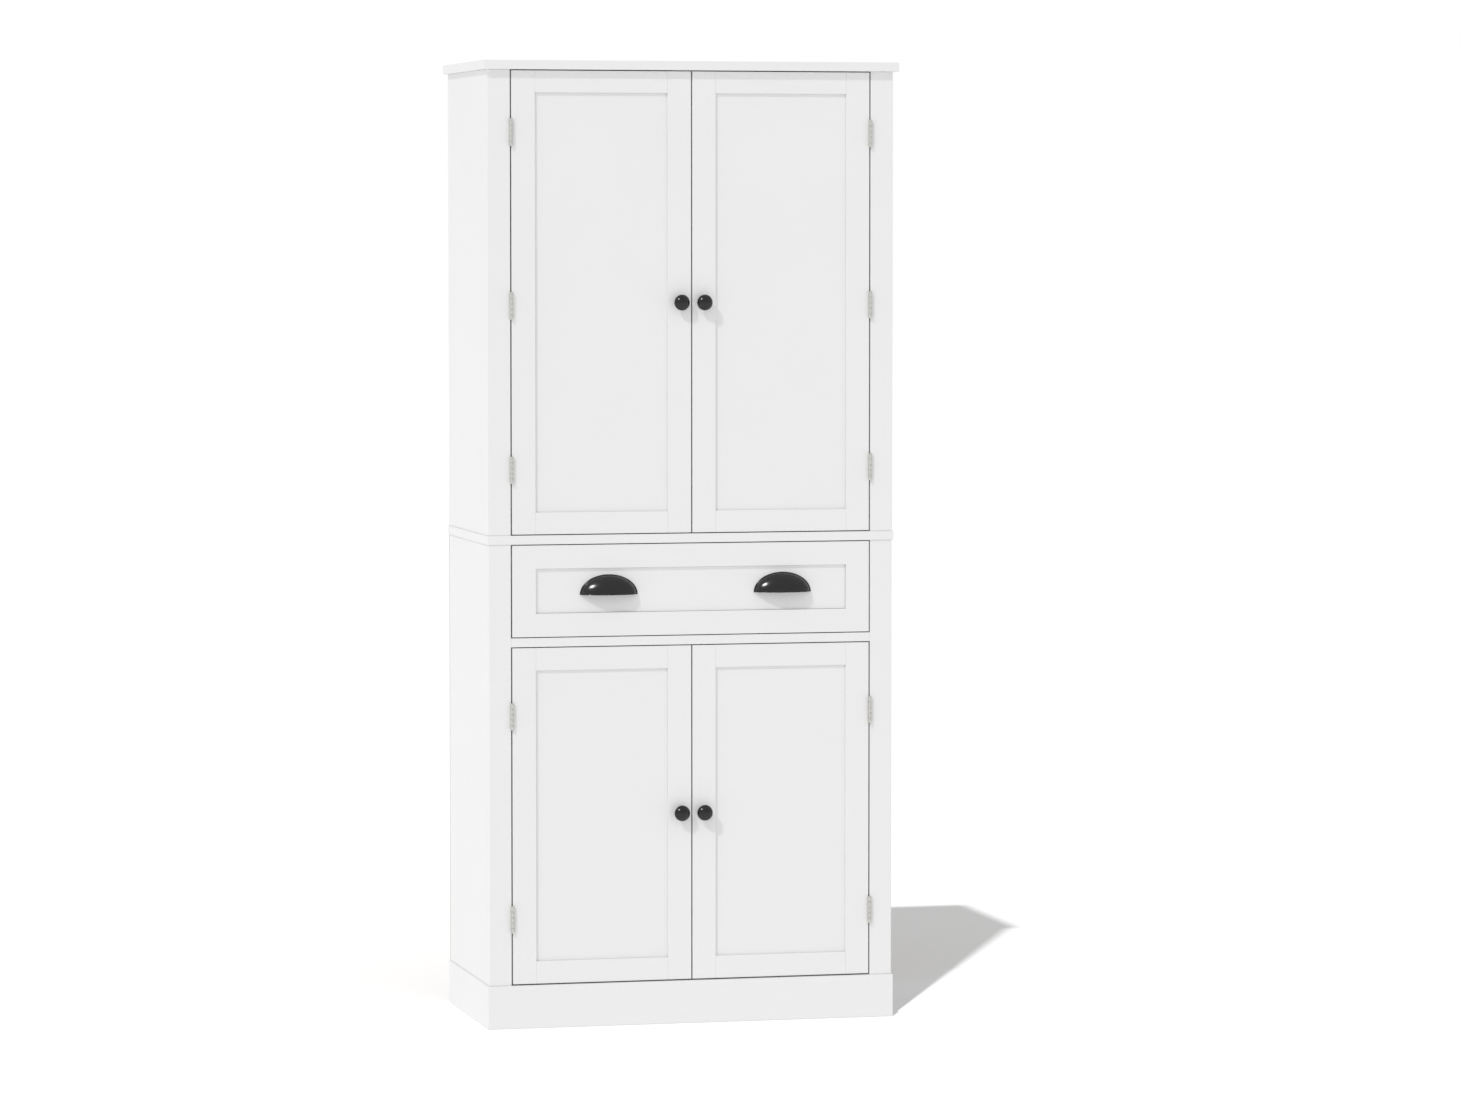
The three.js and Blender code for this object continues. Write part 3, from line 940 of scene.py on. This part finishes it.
class CABINET_OT_drawer_box(bpy.types.Operator):
    """Make the drawer box and the screws that join it"""

    bl_idname = "cabinet.drawer_box"
    bl_label = "Drawer Box"

    def execute(self, context):
        sizes = context.scene.joinery_sizes
        for node in ("drawer_side_left", "drawer_side_right", "drawer_bottom", "drawer_back"):
            eased(node, "edged", sizes.foil_arris, "foil", "drawer")
        back_low, back_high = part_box("drawer_back")
        middle = (back_low.y + back_high.y) / 2
        spots = []
        for hand, way in zip(HANDS, (-1, 1)):
            low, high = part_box(f"drawer_side_{hand}")
            face = low.x if way < 0 else high.x
            for share in (0.25, 0.75):
                height = low.z + share * (high.z - low.z)
                spots.append(((face, middle, height), (way, 0, 0)))
        set_screws("drawer_corner_screws", spots, "joint", "zinc", "drawer")
        return {"FINISHED"}


# ---- hardware --------------------------------------------------------------------------------
class CABINET_OT_hinges(bpy.types.Operator):
    """Make the butt hinges: plates, knuckles and screws"""

    bl_idname = "cabinet.hinges"
    bl_label = "Butt Hinges"

    def execute(self, context):
        sizes = context.scene.hardware_sizes
        axes = {joint["child"]: joint["pos_m"] for joint in frame["joints"] if joint["child"] in DOORS}
        fixed = {"nodes": [], "plates": [], "knuckles": [], "screws": []}
        for door in DOORS:
            section, hand = door.split("_")[0], door.split("_")[-1]
            side = 1 if hand == "right" else -1
            hung = {"nodes": [], "plates": [], "knuckles": [], "screws": []}
            stile_low, stile_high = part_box(f"{section}_stile_{hand}")
            door_low, door_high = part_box(f"{door}_frame")
            stile_edge = stile_low.x if side > 0 else stile_high.x
            door_edge = door_high.x if side > 0 else door_low.x
            for index in range(HINGE_COUNT[section]):
                hinge = f"{door}_hinge{index + 1}"
                self.add_leaf(sizes, hinge, "frame", fixed, stile_edge, -side, axes[door])
                self.add_leaf(sizes, hinge, "door", hung, door_edge, side, axes[door])
            self.make(sizes, axes[door][1], door, hung)
        self.make(sizes, axes[DOORS[0]][1], "carcass", fixed)
        return {"FINISHED"}

    def add_leaf(self, sizes, hinge, kind, group, edge, inward, axis):
        """Notes one leaf's plate, knuckles and screws; edge is where along X its board ends."""
        low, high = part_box(f"{hinge}_frame_leaf")
        tall = high.z - low.z
        pitch = (tall + sizes.knuckle_gap) / sum(map(len, KNUCKLES.values()))
        face = edge + inward * sizes.leaf_thickness
        screw_y = high.y - sizes.screw_inset
        group["nodes"].append(f"{hinge}_{kind}_leaf")
        group["plates"].append((edge, face, low.z, high.z, high.y, KNUCKLES[kind], pitch))
        group["knuckles"] += [
            ((axis[0], axis[1], low.z + index * pitch), (0, 0, 1)) for index in KNUCKLES[kind]
        ]
        group["screws"] += [
            ((face, screw_y + step, low.z + share * tall), (inward, 0, 0)) for share, step in HINGE_SCREWS
        ]

    def make(self, sizes, axis_y, body, group):
        """Makes one body's share of the hinges."""
        radius, corner = sizes.barrel_radius, sizes.leaf_corner
        plate_front = axis_y + radius + sizes.leaf_clearance
        shape = bmesh.new()
        for edge, face, bottom, top, back, order, pitch in group["plates"]:
            round_corner = curve((back - corner, top), ((back, top), (back, top - corner)), steps=5)
            low_corner = [(y, bottom + top - z) for y, z in reversed(round_corner)]
            outline = [(plate_front, bottom), *low_corner, *round_corner[::-1], (plate_front, top)]
            add_prism(shape, outline, lambda u, v, at: (at, u, v), edge, face)
            for index in order:
                start = bottom + index * pitch
                add_block(
                    shape,
                    (min(edge, face), axis_y + radius * 0.55, start),
                    (max(edge, face), plate_front + 0.5 * MM, start + pitch - sizes.knuckle_gap),
                )
        bmesh.ops.recalc_face_normals(shape, faces=shape.faces)
        ease(shape, 0.12 * MM)
        piece(f"{body}_hinge_plates", shape, ("nickel",), body, group["nodes"])
        height = group["plates"][0][-1] - sizes.knuckle_gap
        chamfer = 0.35 * MM
        rounding = [(radius - chamfer, 0), (radius - chamfer * 0.3, chamfer * 0.3), (radius, chamfer)]
        profile = [(0, 0), *rounding, *((r, height - z) for r, z in reversed(rounding)), (0, height)]
        knuckle = bmesh.new()
        add_turning(knuckle, profile, stand_up, 32)
        for face in knuckle.faces:
            face.smooth = abs(face.normal.z) < 0.9
        set_out(f"{body}_hinge_knuckles", group["knuckles"], knuckle, "nickel", body, most_turn=0.0)
        set_screws(f"{body}_hinge_screws", group["screws"], "hinge", "nickel", body, seed=7)


class CABINET_OT_knobs(bpy.types.Operator):
    """Turn the four knobs and set the screws that hold them"""

    bl_idname = "cabinet.knobs"
    bl_label = "Knobs"

    def execute(self, context):
        for door in DOORS:
            node = f"{door}_knob"
            low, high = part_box(node)
            centre_x, centre_z = (low.x + high.x) / 2, (low.z + high.z) / 2
            proud, radius = high.y - low.y, (high.z - low.z) / 2
            profile = [
                (0, 0), (8 * MM, 0), (8.3 * MM, 0.3 * MM), (8.3 * MM, 1.2 * MM),
                *curve(
                    (7.6 * MM, 1.8 * MM),
                    ((5.2 * MM, 4 * MM), (5.6 * MM, 7.5 * MM)),
                    ((6 * MM, 10.4 * MM), (9.5 * MM, 11.4 * MM)),
                    ((12.4 * MM, 11.8 * MM), (radius - 0.7 * MM, 12.8 * MM)),
                    ((radius + 0.35 * MM, 14.2 * MM), (radius - 0.5 * MM, 16.3 * MM)),
                    ((radius - 3.2 * MM, 20.6 * MM), (radius * 0.4, 23 * MM)),
                    ((radius * 0.2, proud), (0, proud)),
                ),
            ]
            shape = bmesh.new()
            add_turning(shape, profile, lambda u, v, at: (centre_x + u, high.y - at, centre_z + v), 64)
            piece(f"{door}_turned_knob", shape, ("enamel",), door, (node,))
            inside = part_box(f"{door}_frame")[1].y
            spots = [((centre_x, inside, centre_z), (0, 1, 0))]
            set_screws(f"{door}_knob_screw", spots, "handle", "zinc", door, seed=3)
        return {"FINISHED"}


def cup_profile(half, proud, flange, wall):
    """Half of a cup pull's section: (distance from its middle, height from the drawer panel)."""
    dome, steps = half - flange, 14
    arc = [math.pi / 2 * step / steps for step in range(steps + 1)]
    inside = [((dome - wall) * math.sin(a), (proud - wall) * math.cos(a)) for a in arc]
    crown = (half - flange * 0.55, wall)
    edge = [
        (half - 0.2 * MM, 0),
        *curve((half, 0.2 * MM), ((half, wall), crown), steps=5),
        *curve(crown, ((dome, wall), (dome, wall * 1.3)), steps=4)[1:],
    ]
    outside = [(dome * math.cos(a), proud * math.sin(a)) for a in arc]
    return inside + edge + [point for point in outside if point[1] > wall * 1.4]


class CABINET_OT_pulls(bpy.types.Operator):
    """Make the two cup pulls with their posts, and the screws inside the drawer"""

    bl_idname = "cabinet.pulls"
    bl_label = "Cup Pulls"

    def execute(self, context):
        sizes = context.scene.hardware_sizes
        spots = []
        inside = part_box("drawer_front")[1].y
        for hand in HANDS:
            node = f"cup_pull_{hand}"
            low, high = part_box(node)
            centre = (low.x + high.x) / 2
            half, tall, proud = (high.x - low.x) / 2, high.z - low.z, high.y - low.y
            profile = cup_profile(half, proud, sizes.pull_flange, sizes.pull_wall)
            shape = bmesh.new()
            self.add_cup(shape, profile, half, tall, (centre, high.y, low.z))
            for post in (-1, 1):
                x, z = centre + post * sizes.post_spacing / 2, low.z + sizes.post_height
                reach = sizes.post_reach
                add_turning(
                    shape,
                    [(0, 0), (4.2 * MM, 0), (3.6 * MM, reach - 1 * MM), (2.9 * MM, reach), (0, reach)],
                    lambda u, v, at: (x + u, high.y - at, z + v),
                    24,
                )
                spots.append(((x, inside, z), (0, 1, 0)))
            piece(f"{node}_cast", shape, ("enamel",), "drawer", (node,))
        set_screws("cup_pull_screws", spots, "handle", "zinc", "drawer", seed=5)
        return {"FINISHED"}

    def add_cup(self, shape, profile, half, tall, foot):
        """Sweeps the section over the top from right to left, and closes the lip with a rounding."""
        lip = 0.6 * MM
        turns = 56
        squeeze = (tall - lip) / half

        def place(across, height, angle, drop):
            return (
                foot[0] + across * math.cos(angle),
                foot[1] - height,
                foot[2] + lip + across * math.sin(angle) * squeeze - drop,
            )

        pole_in = shape.verts.new(place(0, profile[0][1], 0, 0))
        pole_out = shape.verts.new(place(0, profile[-1][1], 0, 0))
        rings = [
            [shape.verts.new(place(r, h, math.pi * turn / turns, 0)) for r, h in profile[1:-1]]
            for turn in range(turns + 1)
        ]
        faces = []
        for ring, following in zip(rings, rings[1:]):
            faces.append(shape.faces.new((pole_in, ring[0], following[0])))
            faces.append(shape.faces.new((pole_out, following[-1], ring[-1])))
            for index in range(len(ring) - 1):
                faces.append(
                    shape.faces.new((ring[index], ring[index + 1], following[index + 1], following[index]))
                )
        outline = [pole_in, *rings[0], pole_out, *rings[-1][::-1]]
        flat = [(vertex.co.x, vertex.co.y) for vertex in outline]
        count = len(flat)
        for step in (1, 2, 3):
            angle = math.pi / 2 * step / 3
            inset, drop = lip * (1 - math.cos(angle)), lip * math.sin(angle)
            lower = []
            for index, (x, y) in enumerate(flat):
                before, after = flat[index - 1], flat[(index + 1) % count]
                along = Vector((after[0] - before[0], after[1] - before[1])).normalized()
                lower.append(
                    shape.verts.new((x - along.y * inset, y + along.x * inset, foot[2] + lip - drop))
                )
            faces += bridge(shape, outline, lower)
            outline = lower
        faces.append(shape.faces.new(outline))
        for face in faces[:-1]:
            face.smooth = True
        bmesh.ops.recalc_face_normals(shape, faces=faces)


class CABINET_OT_runner(bpy.types.Operator):
    """Make the drawer's centre runner: track, slide, roller and screws"""

    bl_idname = "cabinet.runner"
    bl_label = "Centre Runner"

    def execute(self, context):
        eased("runner_track", "rolled", 0.3 * MM, "zinc", "carcass")
        low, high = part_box("runner_track")
        wall = 1.5 * MM
        spots = [
            ((0, low.y + share * (high.y - low.y), low.z + wall), (0, 0, 1)) for share in (0.08, 0.5, 0.9)
        ]
        set_screws("runner_track_screws", spots, "track", "zinc", "carcass")

        low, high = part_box("runner_slide")
        wall = 1.2 * MM
        half = (high.x - low.x) / 2
        inner, lip = half - wall, half - 4.5 * MM
        right = [(lip, low.z), (half, low.z), (half, high.z)]
        left = [(-x, z) for x, z in reversed(right)]
        hollow = [(inner, high.z - wall), (inner, low.z + wall), (lip, low.z + wall)]
        outline = [*left, *((-x, z) for x, z in reversed(hollow)), *hollow, *right]
        slide = bmesh.new()
        add_prism(slide, outline, lambda u, v, at: (u, at, v), low.y + 1 * MM, high.y - 6 * MM)
        ease(slide, 0.25 * MM)
        piece("runner_slide_rolled", slide, ("zinc",), "drawer", ("runner_slide",))

        radius, half, hub = 5.6 * MM, 5 * MM, 2.2 * MM
        bevel, boss = 0.8 * MM, 1 * MM
        profile = [
            (0, -half), (radius - bevel, -half), (radius, bevel - half), (radius, half - bevel),
            (radius - bevel, half), (hub, half), (hub, half + boss), (0, half + boss),
        ]
        spot_y, spot_z = high.y - 8 * MM, low.z + radius - 0.4 * MM
        roller = bmesh.new()
        add_turning(roller, profile, lambda u, v, at: (at, spot_y + u, spot_z + v), 32)
        piece("runner_roller", roller, ("plastic",), "drawer")
        return {"FINISHED"}


class CABINET_OT_catches(bpy.types.Operator):
    """Make the magnetic catches and the plates on the doors that they hold"""

    bl_idname = "cabinet.catches"
    bl_label = "Magnetic Catches"

    def execute(self, context):
        sizes = context.scene.hardware_sizes
        strike = 1.2 * MM
        for section, ceiling in (("upper", "top_board"), ("lower", "drawer_divider")):
            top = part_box(ceiling)[0].z
            door_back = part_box(f"{section}_door_left_frame")[1].y
            front = door_back + strike + 0.4 * MM
            half = sizes.catch_width / 2
            body = bmesh.new()
            add_block(
                body,
                (-half, front + 1 * MM, top - sizes.catch_height),
                (half, front + sizes.catch_depth, top),
            )
            for side in (-1, 1):
                ear = sorted((side * half, side * (half + sizes.catch_ear)))
                add_block(
                    body,
                    (ear[0], front + 4 * MM, top - 2.5 * MM),
                    (ear[1], front + sizes.catch_depth - 2 * MM, top),
                )
            ease(body, 0.5 * MM)
            piece(f"{section}_catch_housing", body, ("plastic",), "carcass")
            poles = bmesh.new()
            for centre in (-sizes.pole_offset, sizes.pole_offset):
                for level in (3 * MM, 9 * MM):
                    add_block(
                        poles,
                        (centre - 8 * MM, front, top - level - 1.6 * MM),
                        (centre + 8 * MM, front + 6 * MM, top - level),
                    )
            ease(poles, 0.2 * MM)
            piece(f"{section}_catch_poles", poles, ("zinc",), "carcass")
            ears = [
                ((side * (half + 5 * MM), front + sizes.catch_depth / 2 + 1 * MM, top - 2.5 * MM), (0, 0, -1))
                for side in (-1, 1)
            ]
            set_screws(f"{section}_catch_screws", ears, "catch", "zinc", "carcass", seed=11)
            for hand, side in zip(HANDS, (-1, 1)):
                door = f"{section}_door_{hand}"
                centre = side * sizes.pole_offset
                height = top - 8 * MM
                plate = bmesh.new()
                add_block(
                    plate,
                    (centre - 9 * MM, door_back, height - 5.5 * MM),
                    (centre + 9 * MM, door_back + strike, height + 5 * MM),
                )
                ease(plate, 0.3 * MM)
                piece(f"{door}_strike_plate", plate, ("zinc",), door)
                spots = [((centre, door_back + strike, height), (0, 1, 0))]
                set_screws(f"{door}_strike_screw", spots, "strike", "zinc", door, seed=13)
        return {"FINISHED"}


# ---- stage -----------------------------------------------------------------------------------
class CABINET_OT_studio(bpy.types.Operator):
    """Set the floor, the lights and the camera"""

    bl_idname = "cabinet.studio"
    bl_label = "Studio"

    def execute(self, context):
        scene = context.scene
        settings = scene.studio_settings
        scene.view_settings.view_transform = "Standard"
        self.lay_floor()
        self.light_room(scene, settings)
        self.hang_lights(settings)
        self.set_camera(scene, settings)
        return {"FINISHED"}

    def lay_floor(self):
        size = 60.0
        mesh = bpy.data.meshes.new("studio_floor")
        mesh.from_pydata(
            [(-size, -size, 0), (size, -size, 0), (size, size, 0), (-size, size, 0)],
            [],
            [(0, 1, 2, 3)],
        )
        mesh.materials.append(finish("floor"))
        self.floor = linked("studio_floor", mesh)
        self.floor.location.z = -0.1 * MM

    def light_room(self, scene, settings):
        """An even white room, which shows pure white behind the object."""
        world = bpy.data.worlds.new("white_room")
        world.use_nodes = True
        scene.world = world
        tree = world.node_tree
        tree.nodes.clear()
        seen = add(tree, "ShaderNodeLightPath").outputs["Is Camera Ray"]
        strength = add(
            tree, "ShaderNodeMapRange", {"Value": seen, "To Min": settings.room_light, "To Max": 1.0}
        ).outputs["Result"]
        white = add(
            tree, "ShaderNodeBackground", {"Color": (1, 1, 1, 1), "Strength": strength}
        ).outputs["Background"]
        add(tree, "ShaderNodeOutputWorld", {"Surface": white})

    def hang_lights(self, settings):
        """Lights the object, the floor and the pulls' domes each from its own side."""
        key_travel = (1.17, 1.0, -1.43)
        suns = (
            ("key_light", settings.key_light, key_travel, 3.5, "EXCLUDE"),
            ("floor_light", settings.floor_light, (0.609, 1.268, -1.814), 1.0, "INCLUDE"),
        )
        for name, strength, travel, spread, floor_rule in suns:
            lamp = bpy.data.lights.new(name, "SUN")
            lamp.energy = strength
            lamp.angle = math.radians(spread)
            light = self.aim(lamp, (0, 0, 3), travel)
            self.choose_lit(light, [self.floor], floor_rule)
        softboxes = (
            ("side_light", settings.side_light, (-4.0, 0.6, 1.1), (1, -0.05, 0), (2.4, 2.4)),
            ("glint_light", settings.glint_light, (-1.83, -1.63, 2.87), key_travel, (0.85, 0.45)),
        )
        for name, strength, place, travel, sides in softboxes:
            lamp = bpy.data.lights.new(name, "AREA")
            lamp.energy = strength
            lamp.shape = "RECTANGLE"
            lamp.size, lamp.size_y = sides
            light = self.aim(lamp, place, travel)
            light.visible_camera = False
        self.choose_lit(light, [bpy.data.objects[f"cup_pull_{hand}_cast"] for hand in HANDS], "INCLUDE")

    def aim(self, lamp, place, travel):
        light = linked(lamp.name, lamp)
        light.location = place
        light.rotation_euler = Vector(travel).to_track_quat("-Z", "Y").to_euler()
        return light

    def choose_lit(self, light, receivers, rule):
        """Has the light fall only on the receivers, or on everything but them."""
        group = bpy.data.collections.new(f"{light.name}_receivers")
        for receiver in receivers:
            group.objects.link(receiver)
        for member in group.collection_objects:
            member.light_linking.link_state = rule
        light.light_linking.receiver_collection = group

    def set_camera(self, scene, settings):
        data = bpy.data.cameras.new("studio_camera")
        data.lens = settings.lens
        data.sensor_width = 36.0
        data.clip_start, data.clip_end = 0.1, 200.0
        camera = linked("studio_camera", data)
        camera.location = settings.camera_place
        camera.rotation_euler = (math.pi / 2 - settings.camera_drop, 0, -settings.camera_turn)
        scene.camera = camera


# ---- add-on ----------------------------------------------------------------------------------
STEPS = (
    CABINET_OT_boards,
    CABINET_OT_sides,
    CABINET_OT_shelves,
    CABINET_OT_back,
    CABINET_OT_doors,
    CABINET_OT_drawer_front,
    CABINET_OT_drawer_box,
    CABINET_OT_hinges,
    CABINET_OT_knobs,
    CABINET_OT_pulls,
    CABINET_OT_runner,
    CABINET_OT_catches,
    CABINET_OT_studio,
)
SETTINGS = {
    "joinery_sizes": JoinerySizes,
    "hardware_sizes": HardwareSizes,
    "finish_colours": FinishColours,
    "studio_settings": StudioSettings,
}


class CABINET_PT_panel(bpy.types.Panel):
    bl_idname = "CABINET_PT_panel"
    bl_label = "Pantry Cabinet"
    bl_space_type = "VIEW_3D"
    bl_region_type = "UI"
    bl_category = "Cabinet"

    def draw(self, context):
        for group, kind in SETTINGS.items():
            box = self.layout.box()
            box.label(text=group.replace("_", " ").capitalize())
            for name in kind.__annotations__:
                box.prop(getattr(context.scene, group), name)
        for step in STEPS:
            self.layout.operator(step.bl_idname)


def register():
    for kind in (*SETTINGS.values(), *STEPS, CABINET_PT_panel):
        bpy.utils.register_class(kind)
    for name, kind in SETTINGS.items():
        setattr(bpy.types.Scene, name, PointerProperty(type=kind))


def unregister():
    for name in SETTINGS:
        delattr(bpy.types.Scene, name)
    for kind in reversed((*SETTINGS.values(), *STEPS, CABINET_PT_panel)):
        bpy.utils.unregister_class(kind)


def main():
    register()
    for step in STEPS:
        group, name = step.bl_idname.split(".")
        getattr(getattr(bpy.ops, group), name)()


if __name__ == "__main__":
    main()
